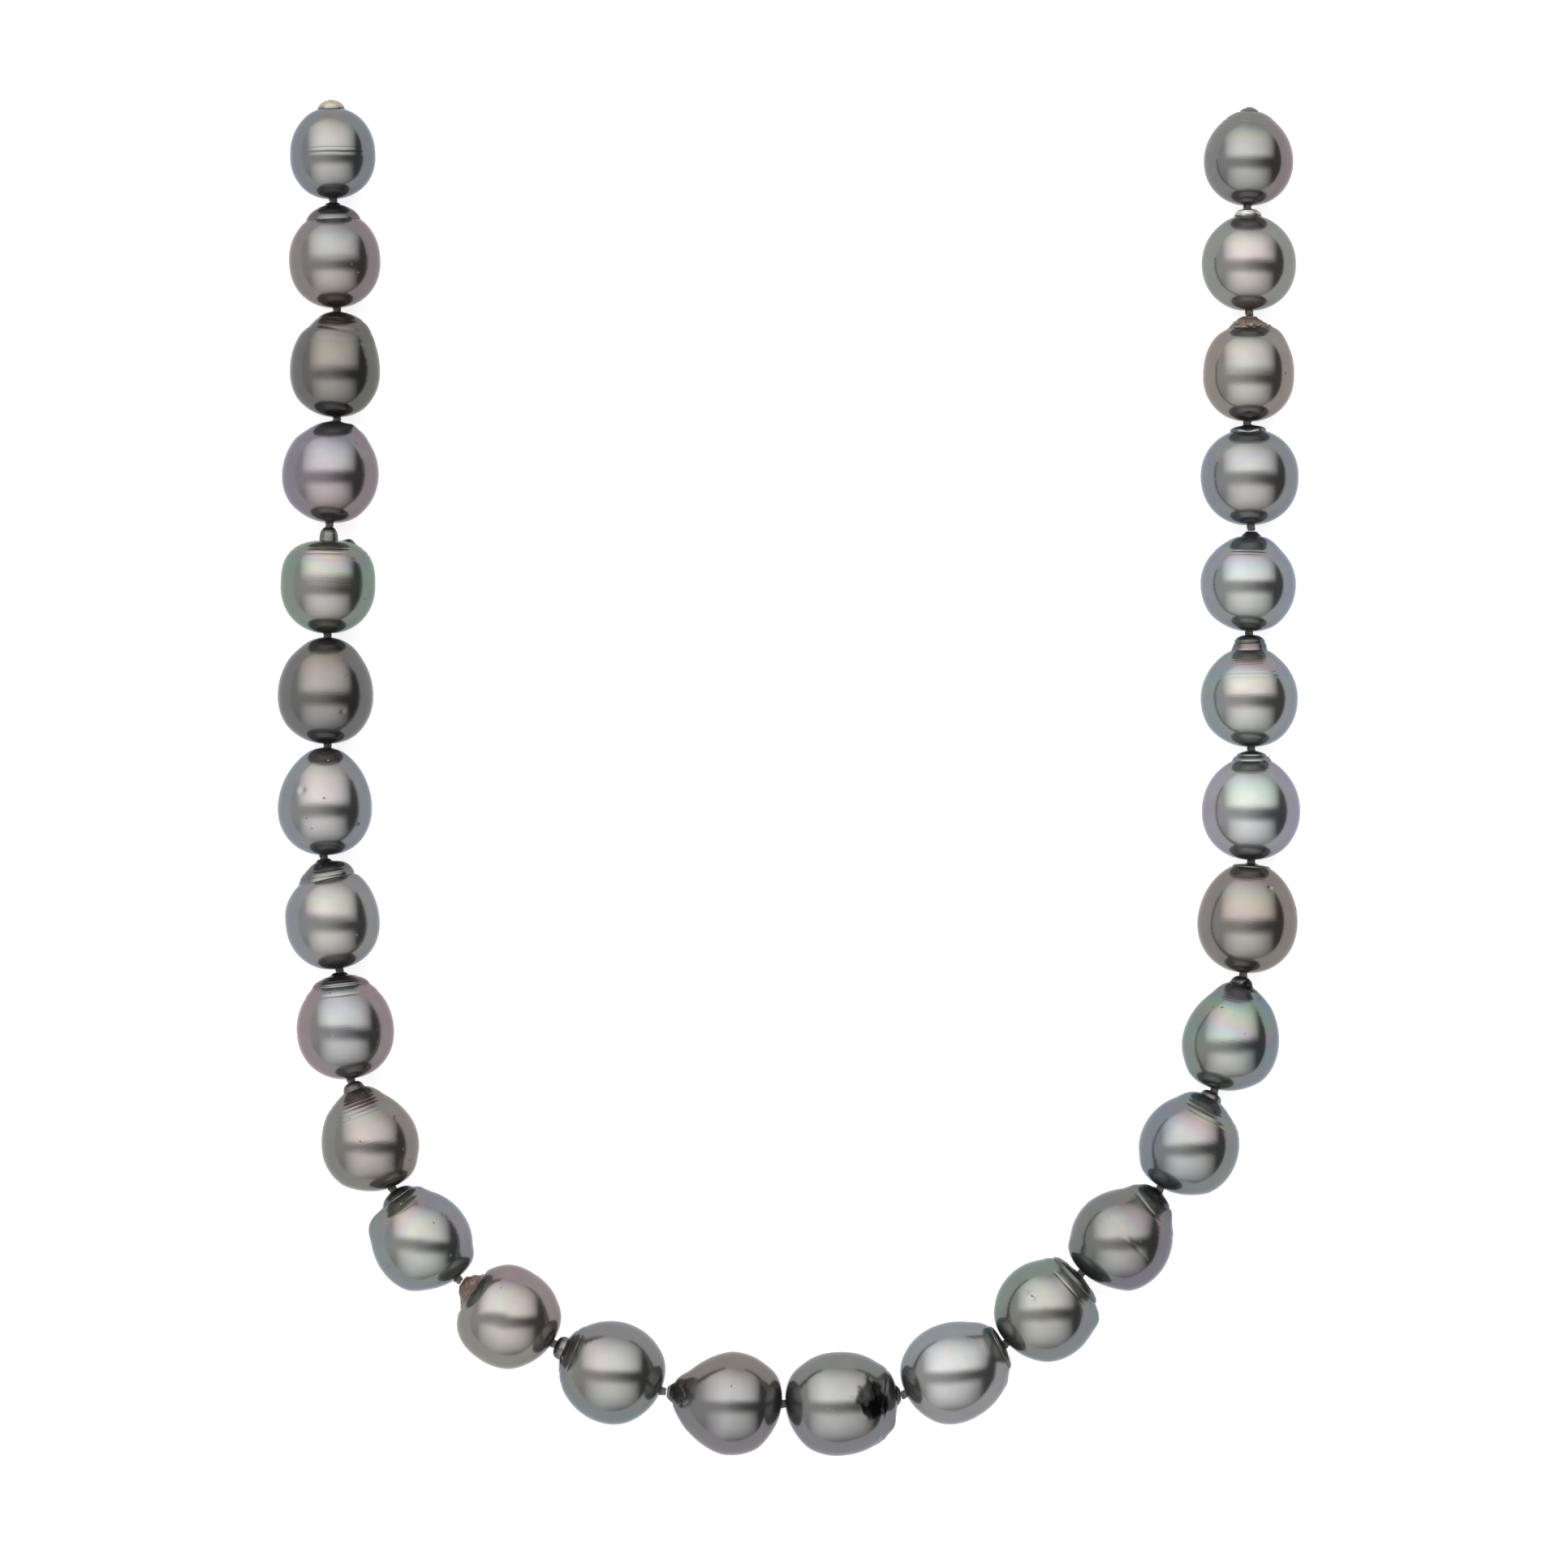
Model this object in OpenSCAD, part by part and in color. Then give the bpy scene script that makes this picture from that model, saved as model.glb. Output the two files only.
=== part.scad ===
/* [Pearls] */
// Width of the first and last pearls of the strand, before each pearl's own trim
end_pearl_w = 11.8; // [9:0.1:13]
// Width of the pearls at the middle of the strand, before each pearl's own trim
middle_pearl_w = 13.8; // [11:0.1:17]
// Length that a drop has beyond its width, before each pearl's own trim
drop_extra = 2; // [1.5:0.1:4]
// Clear gap between neighbouring pearls, which the knot spans
pearl_gap = 0.44; // [0.44:0.01:0.8]
// Diameter of the hole drilled through every pearl
drill_d = 1; // [0.8:0.05:1.3]

/* [Silk] */
// Diameter of the silk thread
thread_d = 0.6; // [0.4:0.05:0.7]
// Diameter of each knot
knot_d = 1.3; // [1.2:0.05:1.6]
// Clearance between a knot and the seat cut for it in each hole mouth
seat_clearance = 0.06; // [0.04:0.01:0.12]
// Clearance between the end of a length of thread and the knot that it runs to
thread_end_clearance = 0.03; // [0.02:0.01:0.08]
// How far the centre of each end knot sits below the tip of the last pearl
end_knot_depth = 0.4; // [0.1:0.05:0.4]

/* [Lay] */
// Heading of the first pearl, turned from straight down towards +X
first_heading = 1; // [-10:1:10]

/* [Hidden] */

// One row per pearl, in millimetres and degrees:
// [width trim, length trim, bend from the pearl before it, tip width, tip height,
//  tip form, shoulder form, colour]
// A form is the power of the curve: 1 a cone, 2 an ellipse, 3 and over a blunt drum.
PEARLS = [
    [-0.4,  0.2,   0, 3.6, 1.3, 2.0, 2.15, "#8f958a"],  // small dome, grooved body
    [ 0.2,  0.3,   1, 7.0, 2.5, 2.0, 2.35, "#8d9194"],  // bell cap
    [-0.1,  0.5,  -2, 2.4, 0.3, 2.0, 2.05, "#8b8574"],  // wrinkled egg
    [ 0.6, -0.8,  -4, 2.4, 0.3, 2.0, 2.0, "#8a8794"],  // round, with a side nub
    [ 0.2,  0.1,   3, 2.5, 1.9, 2.5, 2.8, "#9a9782"],  // barrel with a ball tip
    [ 0.2, -0.1,   1, 2.8, 0.3, 2.0, 2.0, "#87837c"],  // smooth egg
    [-0.1,  0.2,  -2, 2.8, 0.3, 2.0, 1.9, "#7d8a8a"],  // egg with pits
    [-0.3,  0.7,  10, 7.4, 2.8, 2.0, 2.3, "#8c9290"],  // slanted cap
    [ 0.0, -0.3,  -2, 7.4, 2.0, 2.2, 2.1, "#7e8890"],  // dark banded cap
    [-0.1,  0.4,  15, 2.8, 1.2, 2.6, 1.75, "#8f857d"],  // drop with a ball tip
    [-0.1, -0.3,  15, 4.6, 1.2, 2.0, 2.05, "#7c8c84"],  // low dome, pitted side
    [ 0.1, -0.2,  20, 4.6, 2.0, 1.2, 2.5, "#95806c"],  // rough cone
    [ 0.1,  0.1, 10.5, 3.2, 1.3, 2.8, 1.95, "#7f8b80"],  // drop with a ball tip and a ring
    [ 0.1,  0.4, 17.5, 3.0, 1.6, 1.4, 1.6, "#86828a"],  // teardrop with a collar
    [ 0.1,  0.3, 10.5, 3.0, 1.0, 1.3, 2.2, "#828a84"],  // teardrop with a wrinkled tip
    [-0.2, -0.3,  22, 6.2, 0.9, 2.6, 1.95, "#8e9294"],  // blunt top with ring grooves
    [ 0.1, -1.8, 16.5, 8.2, 1.2, 2.6, 2.0, "#96a096"],  // flattened top
    [ 0.2, -0.1,   4, 4.7, 1.5, 2.2, 1.85, "#8f9290"],  // broad knob
    [ 0.1, -0.3,  14, 2.9, 1.0, 2.6, 1.95, "#93968e"],  // drop with a nub
    [-0.1,  1.0,  15, 3.1, 1.4, 2.4, 1.85, "#8c9488"],  // drop with a creased knob
    [ 0.5, -0.3,  10, 5.0, 0.5, 2.5, 1.95, "#8a8174"],  // drop, blunt tip
    [ 0.4, -0.1,   4, 5.1, 1.5, 2.0, 2.0, "#a2adb0"],  // low cap
    [ 0.4,  0.4,   1, 4.5, 2.2, 3.0, 2.0, "#a09884"],  // drum tip
    [ 0.3, -0.6,  -2, 3.2, 1.4, 1.3, 2.0, "#8c939c"],  // cone tip over a ring
    [ 0.8, -1.3,   3, 4.8, 0.9, 3.0, 2.1, "#7c888c"],  // low lobed tip
    [ 0.0,  0.6,  -3, 5.4, 1.9, 1.25, 2.4, "#9c9684"],  // rough cone
    [ 0.6, -0.6,   2, 3.7, 1.3, 3.0, 2.1, "#948c92"],  // ringed collar
    [ 0.1, -0.4,  -2, 3.0, 1.0, 1.8, 2.0, "#8a8e84"]   // pointed drop, small dark dome
];
COUNT = len(PEARLS);
// Node names are numbered from the strand's left end; knot_01 lies between pearl_01 and pearl_02
function label(name, number) = str(name, number < 10 ? "_0" : "_", number);
// The pearls before the middle point their tips at the left end, the others at the right end
FIRST_RIGHT = COUNT / 2;
// Numbers of the first pearls on the middle and right stretches of the thread
MIDDLE_STRETCH = 10;
RIGHT_STRETCH = 20;
// Form of every round end, a little fuller than a ball
ROUND_FORM = 2.12;
BODY_STEPS = 9;
TIP_STEPS = 5;
THREAD_COLOUR = "#4a4846";
KNOT_COLOUR = "#565350";
$fn = 48;

// Share of the way from the strand's ends (0) to its middle (1)
function grade(i) = 1 - abs(2 * (i + 0.5) / COUNT - 1);
function width(i) = end_pearl_w + (middle_pearl_w - end_pearl_w) * grade(i) + PEARLS[i][0];
// Length of a pearl's solid, and the distance between the pivots at its two ends
function solid_length(i) = width(i) + drop_extra + PEARLS[i][1] - pearl_gap;
function pitch(i) = solid_length(i) + pearl_gap;
function heading(i) = i == 0 ? first_heading : heading(i - 1) + PEARLS[i][2];
function along(i) = [sin(heading(i)), -cos(heading(i)), 0];
// Pivot i lies before pearl i, so pivot 0 is the strand's left end and pivot COUNT its right end
function walk(i) = i == 0 ? [0, 0, 0] : walk(i - 1) + pitch(i - 1) * along(i - 1);
// A pivot is as high as the mean of the two pearls that it joins
function pivot_height(i) = (width(max(i - 1, 0)) + width(min(i, COUNT - 1))) / 4;
// How far a pearl between such pivots would sink into the floor
function sink(i) = (width(i) - pivot_height(i) - pivot_height(i + 1)) / 2;

WALK = [for (i = [0:COUNT]) walk(i)];
CENTRES = [for (i = [0:COUNT - 1]) (WALK[i] + WALK[i + 1]) / 2];
LOW_X = min([for (i = [0:COUNT - 1]) CENTRES[i][0] - width(i) / 2]);
HIGH_X = max([for (i = [0:COUNT - 1]) CENTRES[i][0] + width(i) / 2]);
LOW_Y = min([for (i = [0:COUNT - 1]) CENTRES[i][1] - width(i) / 2]);
HIGH_Y = max([for (p = WALK) p[1]]);
// The whole strand is raised until its lowest pearl only touches the floor
RAISE = max([for (i = [0:COUNT - 1]) sink(i)]);
MIDDLE = [(LOW_X + HIGH_X) / 2, (LOW_Y + HIGH_Y) / 2, -RAISE];
PIVOTS = [for (i = [0:COUNT]) WALK[i] - MIDDLE + [0, 0, pivot_height(i)]];
// Centres of the two end knots, seated in the hole mouths of the outer tips
END_INSET = pearl_gap / 2 + end_knot_depth;
LEFT_END = towards(PIVOTS[0], PIVOTS[1], END_INSET);
RIGHT_END = towards(PIVOTS[COUNT], PIVOTS[COUNT - 1], END_INSET);

// Radius share of a rounded form at a share t of its height
function swell(t, form) = pow(max(0, 1 - pow(t, form)), 1 / form);

// Half outline of a pearl lying along +Z, from its round end at 0 to its tip
function outline(i) =
    let (
        r = width(i) / 2,
        length = solid_length(i),
        tip_r = PEARLS[i][3] / 2,
        tip_h = PEARLS[i][4],
        tip_form = PEARLS[i][5],
        form = PEARLS[i][6],
        top = length - tip_h,
        rise = (top - r) / swell(tip_r / r, form),
        reach = asin((top - r) / rise)
    )
    concat(
        [for (k = [0:BODY_STEPS])
            let (t = cos(90 * k / BODY_STEPS)) [r * swell(t, ROUND_FORM), r * (1 - t)]],
        [for (k = [1:BODY_STEPS])
            let (t = sin(reach * k / BODY_STEPS)) [r * swell(t, form), r + rise * t]],
        [for (k = [1:TIP_STEPS])
            let (t = sin(90 * k / TIP_STEPS)) [tip_r * swell(t, tip_form), top + tip_h * t]]
    );

// A point that lies a given distance from a, on the way to b
function towards(a, b, distance) = a + distance * (b - a) / norm(b - a);

// Moves what stands on the origin along +Z so that it stands on a and points at b
module aim(a, b) {
    v = b - a;
    translate(a) rotate([0, acos(v[2] / norm(v)), atan2(v[1], v[0])]) children();
}

// Half section of a drilled pearl, with the pivot at its round end on the origin
module half_section(i) {
    outer = i == 0 || i == COUNT - 1;
    difference() {
        translate([0, pearl_gap / 2]) polygon(outline(i));
        square([drill_d / 2, pitch(i)]);
        circle(d = knot_d + 2 * seat_clearance);
        translate([0, pitch(i) - (outer ? END_INSET : 0)]) circle(d = knot_d + 2 * seat_clearance);
    }
}

// One pearl, drilled from end to end, with a seat for a knot in each hole mouth
module pearl(i) {
    tip_first = i < FIRST_RIGHT;
    color(PEARLS[i][7])
        aim(PIVOTS[tip_first ? i + 1 : i], PIVOTS[tip_first ? i : i + 1]) rotate_extrude() half_section(i);
}

// One knot of silk, at the pivot between two pearls
module knot(centre) {
    color(KNOT_COLOUR) translate(centre) sphere(d = knot_d);
}

// A stretch of the silk thread: one length through each pearl, from knot to knot
module thread(first, last) {
    inset = knot_d / 2 + thread_end_clearance;
    color(THREAD_COLOUR) for (i = [first - 1:last - 1]) {
        a = i == 0 ? LEFT_END : PIVOTS[i];
        b = i == COUNT - 1 ? RIGHT_END : PIVOTS[i + 1];
        aim(towards(a, b, inset), b) cylinder(d = thread_d, h = norm(b - a) - 2 * inset);
    }
}

for (i = [0:COUNT - 1]) pearl(i);
for (i = [1:COUNT - 1]) knot(PIVOTS[i]);
knot(LEFT_END);  // end_knot_left
knot(RIGHT_END);  // end_knot_right
thread(1, MIDDLE_STRETCH - 1);  // thread_left
thread(MIDDLE_STRETCH, RIGHT_STRETCH - 1);  // thread_middle
thread(RIGHT_STRETCH, COUNT);  // thread_right
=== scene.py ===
# %% [markdown]
# # A strand of grey cultured pearls
# Twenty-eight pearls are knotted on silk and laid flat in a U, with both ends open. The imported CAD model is
# the fixed frame: it gives each pearl's place and size. This lesson gives every pearl its own shape and skin.
# The frame comes first, because each piece is placed from it and rides on one of its bodies.

import math

import bpy
import bmesh
from mathutils import Matrix, Vector


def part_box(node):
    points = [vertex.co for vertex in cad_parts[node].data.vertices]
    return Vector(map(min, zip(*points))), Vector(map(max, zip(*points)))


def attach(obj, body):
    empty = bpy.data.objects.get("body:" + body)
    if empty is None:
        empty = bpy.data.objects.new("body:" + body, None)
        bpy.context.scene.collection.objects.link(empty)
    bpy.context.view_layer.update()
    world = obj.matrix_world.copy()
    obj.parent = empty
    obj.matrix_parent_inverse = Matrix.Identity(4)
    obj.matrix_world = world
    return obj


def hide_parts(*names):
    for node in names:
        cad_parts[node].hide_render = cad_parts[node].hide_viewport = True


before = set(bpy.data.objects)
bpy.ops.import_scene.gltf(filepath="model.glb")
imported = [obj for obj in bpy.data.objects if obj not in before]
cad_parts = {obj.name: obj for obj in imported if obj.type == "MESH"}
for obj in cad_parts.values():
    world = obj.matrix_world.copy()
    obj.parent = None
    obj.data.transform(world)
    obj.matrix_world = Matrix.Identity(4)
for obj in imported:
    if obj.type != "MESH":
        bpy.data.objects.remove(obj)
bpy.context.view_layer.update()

# %% [markdown]
# ## Where the pearls hang together
# Each knot sits on the pivot between two pearls, so the middle of its CAD solid is a point of the strand's
# line. The two end knots sit a little inside the outer tips, so the line is drawn on past them by that much.

# %% Read the line of the strand
MM = 0.001
COUNT = 28
END_INSET = 0.62 * MM       # from the tip's pivot to the end knot's middle


def middle_of(node):
    """The middle of a CAD node's box."""
    low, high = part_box(node)
    return (low + high) / 2


def drawn_on(start, end, extra):
    """The point that lies beyond end by extra, on the line from start."""
    return end + (end - start).normalized() * extra


pivots = [middle_of(f"knot_{n:02d}") for n in range(1, COUNT)]
left_end = middle_of("end_knot_left")
right_end = middle_of("end_knot_right")
pivots.insert(0, drawn_on(pivots[0], left_end, END_INSET))
pivots.append(drawn_on(pivots[-1], right_end, END_INSET))
print(len(pivots), "pivots; strand length in mm:",
      round(1000 * sum((b - a).length for a, b in zip(pivots, pivots[1:])), 1))

# %% [markdown]
# ## Camera
# The strand is seen from straight above, with +Y at the top of the picture. A long lens far away keeps the
# view nearly parallel, so that the outer pearls are not seen from the side.

# %% Aim the camera
LENS = 200
SENSOR = 36
VIEW_WIDTH = 208.7 * MM     # width of what the camera takes in, at the height of the pearls' middles
MID_HEIGHT = 6.6 * MM
VIEW_CENTRE = (-0.7 * MM, -1.25 * MM)

camera_data = bpy.data.cameras.new("camera")
camera_data.lens = LENS
camera_data.sensor_width = SENSOR
camera_data.clip_end = 10
camera = bpy.data.objects.new("camera", camera_data)
bpy.context.scene.collection.objects.link(camera)
camera.location = (*VIEW_CENTRE, MID_HEIGHT + VIEW_WIDTH * LENS / SENSOR)
bpy.context.scene.camera = camera
bpy.context.scene.view_settings.view_transform = "Standard"
print("camera height in m:", round(camera.location.z, 3))

# %% [markdown]
# ## Writing formulas in nodes
# A shape or a shade that follows a formula takes many Math nodes. A small class lets each formula be written
# as a formula: every operator adds one Math node to the tree. It serves geometry and shader trees alike.

# %% A number in a node tree


class Field:
    """A number that a node tree works out at every point."""

    def __init__(self, tree, socket):
        self.tree = tree
        self.socket = socket

    def math(self, operation, *others, clamp=False):
        node = self.tree.nodes.new("ShaderNodeMath")
        node.operation = operation
        node.use_clamp = clamp
        for place, value in zip(node.inputs, (self, *others)):
            feed(self.tree, value, place)
        return Field(self.tree, node.outputs[0])

    def __add__(self, other):
        return self.math("ADD", other)

    def __sub__(self, other):
        return self.math("SUBTRACT", other)

    def __rsub__(self, other):
        return (self * -1) + other

    def __mul__(self, other):
        return self.math("MULTIPLY", other)

    def __truediv__(self, other):
        return self.math("DIVIDE", other)

    def __pow__(self, other):
        return self.math("POWER", other)

    __radd__ = __add__
    __rmul__ = __mul__

    def clamp(self):
        return self.math("ADD", 0, clamp=True)

    def ramp(self, start, end):
        """0 at start and 1 at end, eased at both."""
        node = self.tree.nodes.new("ShaderNodeMapRange")
        node.interpolation_type = "SMOOTHSTEP"
        feed(self.tree, self, node.inputs["Value"])
        feed(self.tree, start, node.inputs["From Min"])
        feed(self.tree, end, node.inputs["From Max"])
        return Field(self.tree, node.outputs["Result"])

    def hump(self, middle, breadth):
        """1 at middle, falling off to either side over breadth."""
        off = (self - middle) / breadth
        return (off * off * -1).math("EXPONENT")


def feed(tree, value, place):
    """Links a field or a socket to an input, or sets the input to a plain value."""
    if isinstance(value, Field):
        tree.links.new(value.socket, place)
    elif isinstance(value, bpy.types.NodeSocket):
        tree.links.new(value, place)
    else:
        place.default_value = value


def add(tree, kind, inputs=(), **settings):
    """A new node with its settings made and its named inputs fed."""
    node = tree.nodes.new(kind)
    for name, value in settings.items():
        setattr(node, name, value)
    for name, value in dict(inputs).items():
        feed(tree, value, node.inputs[name])
    return node


def new_tree(name, kind, inputs, outputs):
    """A node group, its inputs by name, and its output node."""
    tree = bpy.data.node_groups.new(name, kind)
    for direction, sockets in (("INPUT", inputs), ("OUTPUT", outputs)):
        for title, socket_kind in sockets.items():
            tree.interface.new_socket(title, in_out=direction, socket_type="NodeSocket" + socket_kind)
    entry = tree.nodes.new("NodeGroupInput")
    exit_node = tree.nodes.new("NodeGroupOutput")
    given = {}
    for title, socket_kind in inputs.items():
        socket = entry.outputs[title]
        given[title] = Field(tree, socket) if socket_kind in ("Float", "Int") else socket
    return tree, given, exit_node


# %% [markdown]
# ## Studio light
# Pearls show their surroundings like dark mirrors, so the light is designed by what the pearls should show:
# a broad soft panel on the far side, a dimmer one on the near side, a dark slot between them where the camera
# looks in, a grey wall at the left and darkness at the right. The studio is drawn on the world by its place
# in a mirror ball. (nx, ny) is the point of a ball, seen from above, that shows a given direction.

# %% Draw the studio on the world
FAR_PANEL = dict(side=1, edge=-0.01, full=0.14, reach=0.60, half_width=0.57, corner=3.4, light=3.5)
NEAR_PANEL = dict(side=-1, edge=0.07, full=0.24, reach=0.46, half_width=0.52, corner=2.8, light=2.4)
DARK = 0.05
FADE_POWER = 2.4            # higher keeps a panel even for longer before it fades
LEFT_WALL = 1.2
HAZE = 1.3                  # what lies below the horizon, past the floor's edge
BACKDROP = 1.0

world = bpy.data.worlds.new("studio")
bpy.context.scene.world = world
world.use_nodes = True
sky = world.node_tree
sky.nodes.clear()
direction = add(sky, "ShaderNodeSeparateXYZ", {"Vector": add(sky, "ShaderNodeTexCoord").outputs["Generated"]})
dir_x, dir_y, dir_z = (Field(sky, direction.outputs[axis]) for axis in "XYZ")
spread = ((dir_z + 1.0001) * 2).math("SQRT")
nx = dir_x / spread
ny = dir_y / spread


def panel_light(side, edge, full, reach, half_width, corner, light):
    """The light of one soft panel, quick to fill at its inner edge and slow to fade at its outer one."""
    outward = ny * side
    fade = 1 - ((outward - full) / reach).math("MAXIMUM", 0) ** FADE_POWER
    across = 1 - (nx / half_width).math("ABSOLUTE") ** corner
    return outward.ramp(edge, full) * fade.clamp() * across.clamp() * light


wall = (nx * -1).ramp(-0.45, 0.26) * (ny.ramp(-0.5, -0.1) * 0.3 + 0.7) * LEFT_WALL
lit = wall + DARK + panel_light(**FAR_PANEL) + panel_light(**NEAR_PANEL)
above = dir_z.ramp(-0.02, 0.02)
lit = lit * above + (1 - above) * HAZE
studio_light = add(sky, "ShaderNodeBackground", {"Color": (1, 0.995, 0.985, 1), "Strength": lit})
backdrop = add(sky, "ShaderNodeBackground", {"Color": (1, 1, 1, 1), "Strength": BACKDROP})
seen = add(sky, "ShaderNodeMixShader")
sky.links.new(add(sky, "ShaderNodeLightPath").outputs["Is Camera Ray"], seen.inputs[0])
sky.links.new(studio_light.outputs[0], seen.inputs[1])
sky.links.new(backdrop.outputs[0], seen.inputs[2])
add(sky, "ShaderNodeOutputWorld", {"Surface": seen.outputs[0]})
print("studio nodes:", len(sky.nodes))

# %% [markdown]
# ## Floor
# A light table: a plain white sheet, lit a little from below, so that the pearls cast hardly any shadow. It
# is what the lower half of every pearl shows, so it makes the pale rims.

# %% Lay the floor
FLOOR_HALF = 3.0
FLOOR_WHITE = 0.32
FLOOR_GLOW = 0.72

floor_mesh = bpy.data.meshes.new("floor")
corners = [(x * FLOOR_HALF, y * FLOOR_HALF, 0) for x, y in ((-1, -1), (1, -1), (1, 1), (-1, 1))]
floor_mesh.from_pydata(corners, [], [(0, 1, 2, 3)])
floor = bpy.data.objects.new("floor", floor_mesh)
bpy.context.scene.collection.objects.link(floor)
paint = bpy.data.materials.new("floor_white")
paint.use_nodes = True
sheet = paint.node_tree.nodes["Principled BSDF"].inputs
sheet["Base Color"].default_value = (FLOOR_WHITE,) * 3 + (1,)
sheet["Roughness"].default_value = 1
sheet["Specular IOR Level"].default_value = 0
sheet["Emission Color"].default_value = (1, 1, 1, 1)
sheet["Emission Strength"].default_value = FLOOR_GLOW
floor_mesh.materials.append(paint)

# %% [markdown]
# ## The shape of a pearl
# A pearl of this kind is a body turned about its drill hole: a round end, a shoulder that draws in, and a
# tip. So its main form is one rule, and Geometry Nodes work it out. A flat grid is rolled into a closed
# tube. Its rows run from the round end's hole up the outside to the tip, and back down inside the hole.
# A second step pushes the skin in and out along its normals: ring grooves, ripples, bumps and uneven growth,
# which no turned body has.

# %% Sizes that every pearl shares
GAP = 0.44 * MM             # between neighbouring pearls
HOLE = 0.5 * MM             # radius of the drill hole
MOUTH = 0.68 * MM           # radius of the hole's mouth, where a knot sits
ROWS = 176
TURNS = 132
OUTSIDE = 0.87              # share of the rows that are outside
ROUND_SHARE = 0.28          # of those rows, the share on the round end
TIP_SHARE = 0.30            # and the share on the tip
SEAT = 0.35 * MM            # how deep a knot's seat goes
END_SEAT = 0.8 * MM         # and the seat of an end knot, which lies deeper
ROUND_FORM = 2.12           # power of the round end's curve, a little fuller than a ball
GROOVES = 4
BUMPS = 4

# %% Build the pearl's tree
numbered = {}
for n in range(1, GROOVES + 1):
    for part in ("Place", "Depth", "Breadth", "Slant"):
        numbered[f"Groove {n} {part}"] = "Float"
for n in range(1, BUMPS + 1):
    numbered[f"Bump {n} Centre"] = "Vector"
    numbered[f"Bump {n} Breadth"] = "Float"
    numbered[f"Bump {n} Height"] = "Float"
pearl_tree, given, exit_node = new_tree(
    "Pearl shape",
    "GeometryNodeTree",
    {
        "Width": "Float",
        "Length": "Float",
        "Tip Width": "Float",
        "Tip Height": "Float",
        "Tip Form": "Float",
        "Shoulder Form": "Float",
        "Seat Depth": "Float",
        "Cap Slant": "Float",
        "Off Centre": "Float",
        "Collar Flare": "Float",
        "Tip Lean": "Float",
        "Ripple Start": "Float",
        "Ripple End": "Float",
        "Ripple Count": "Float",
        "Ripple Depth": "Float",
        "Unevenness": "Float",
        "Tip Crumple": "Float",
        "Stain Centre": "Vector",
        "Stain Breadth": "Float",
        "Seed": "Float",
        "Skin": "Material",
        **numbered,
    },
    {"Pearl": "Geometry"},
)

grid = add(pearl_tree, "GeometryNodeMeshGrid",
           {"Size X": 1.0, "Size Y": 1.0, "Vertices X": ROWS + 1, "Vertices Y": TURNS + 1})
on_grid = add(pearl_tree, "ShaderNodeSeparateXYZ",
              {"Vector": add(pearl_tree, "GeometryNodeInputPosition").outputs[0]})
row = Field(pearl_tree, on_grid.outputs["X"]) + 0.5
turn = (Field(pearl_tree, on_grid.outputs["Y"]) + 0.5) * (2 * math.pi)
top = turn.math("COSINE")
side = turn.math("SINE")


def swell(share, form):
    """Radius share at a share of the height. Form 1 is a cone, 2 round, 3 and over a drum."""
    return (1 - share.math("MINIMUM", 0.999999) ** form).math("MAXIMUM", 0) ** (form ** -1)


def stretch(field, start, end):
    """0 up to start, then even to 1 at end and on."""
    return ((field - start) / (end - start)).clamp()


radius = given["Width"] / 2
along = (row / OUTSIDE).clamp()
form = given["Shoulder Form"]
tip_form = given["Tip Form"]
tip_radius = given["Tip Width"] / 2
tip_base = given["Length"] - given["Tip Height"]

# The round end, from the mouth of the hole to the widest ring
mouth_share = (1 - (radius ** -1 * MOUTH) ** ROUND_FORM) ** (1 / ROUND_FORM)
first = mouth_share.math("ARCCOSINE")
share = (first + (math.pi / 2 - first) * stretch(along, 0, ROUND_SHARE)).math("COSINE")
out_round = radius * swell(share, ROUND_FORM)
up_round = radius * (1 - share)

# The shoulder, from the widest ring to the foot of the tip
rise = (tip_base - radius) / swell(tip_radius / radius, form)
reach = ((tip_base - radius) / rise).math("ARCSINE")
share = (reach * stretch(along, ROUND_SHARE, 1 - TIP_SHARE)).math("SINE")
out_shoulder = radius * swell(share, form)
up_shoulder = rise * share

# The tip, from its foot to the mouth of the hole
last = swell(tip_radius ** -1 * MOUTH, tip_form).math("ARCSINE")
share = (last * stretch(along, 1 - TIP_SHARE, 1)).math("SINE")
out_tip = tip_radius * swell(share, tip_form)
up_tip = given["Tip Height"] * share

# Back inside: the seat under the tip, the hole, and the seat in the round end
inside = stretch(row, OUTSIDE, 1)
tip_seat = stretch(inside, 0, 0.3)
bore = stretch(inside, 0.3, 0.75)
round_seat = stretch(inside, 0.75, 1)
mouth_height = GAP / 2 + radius * (1 - mouth_share)
tip_mouth = GAP / 2 + tip_base + up_tip
narrowing = (tip_seat ** 3) * -(MOUTH - HOLE) + ((1 - (1 - round_seat) ** 3)) * (MOUTH - HOLE)
seat_low = mouth_height + SEAT
out_at = out_round + (out_shoulder - radius) + (out_tip - tip_radius) + narrowing
up_outside = GAP / 2 + up_round + up_shoulder + up_tip
seat_high = tip_mouth - given["Seat Depth"]
fall = (tip_seat * given["Seat Depth"] + bore * (seat_high - seat_low)
        + round_seat * (seat_low - mouth_height))
up_at = up_outside - fall
cap_tilt = stretch(along, 1 - 1.9 * TIP_SHARE, 1 - 0.7 * TIP_SHARE) * (1 - along.ramp(0.86, 0.99))
up_at = up_at + given["Cap Slant"] * side * cap_tilt * out_at

# Many drill holes miss the middle, so the body stands out to one side, but not at its two ends
outer = 1 - row.ramp(OUTSIDE - 0.004, OUTSIDE)
height_share = up_at / given["Length"]
aside = given["Off Centre"] * height_share.ramp(0.02, 0.2) * (1 - height_share.ramp(0.80, 0.94)) * outer

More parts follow.
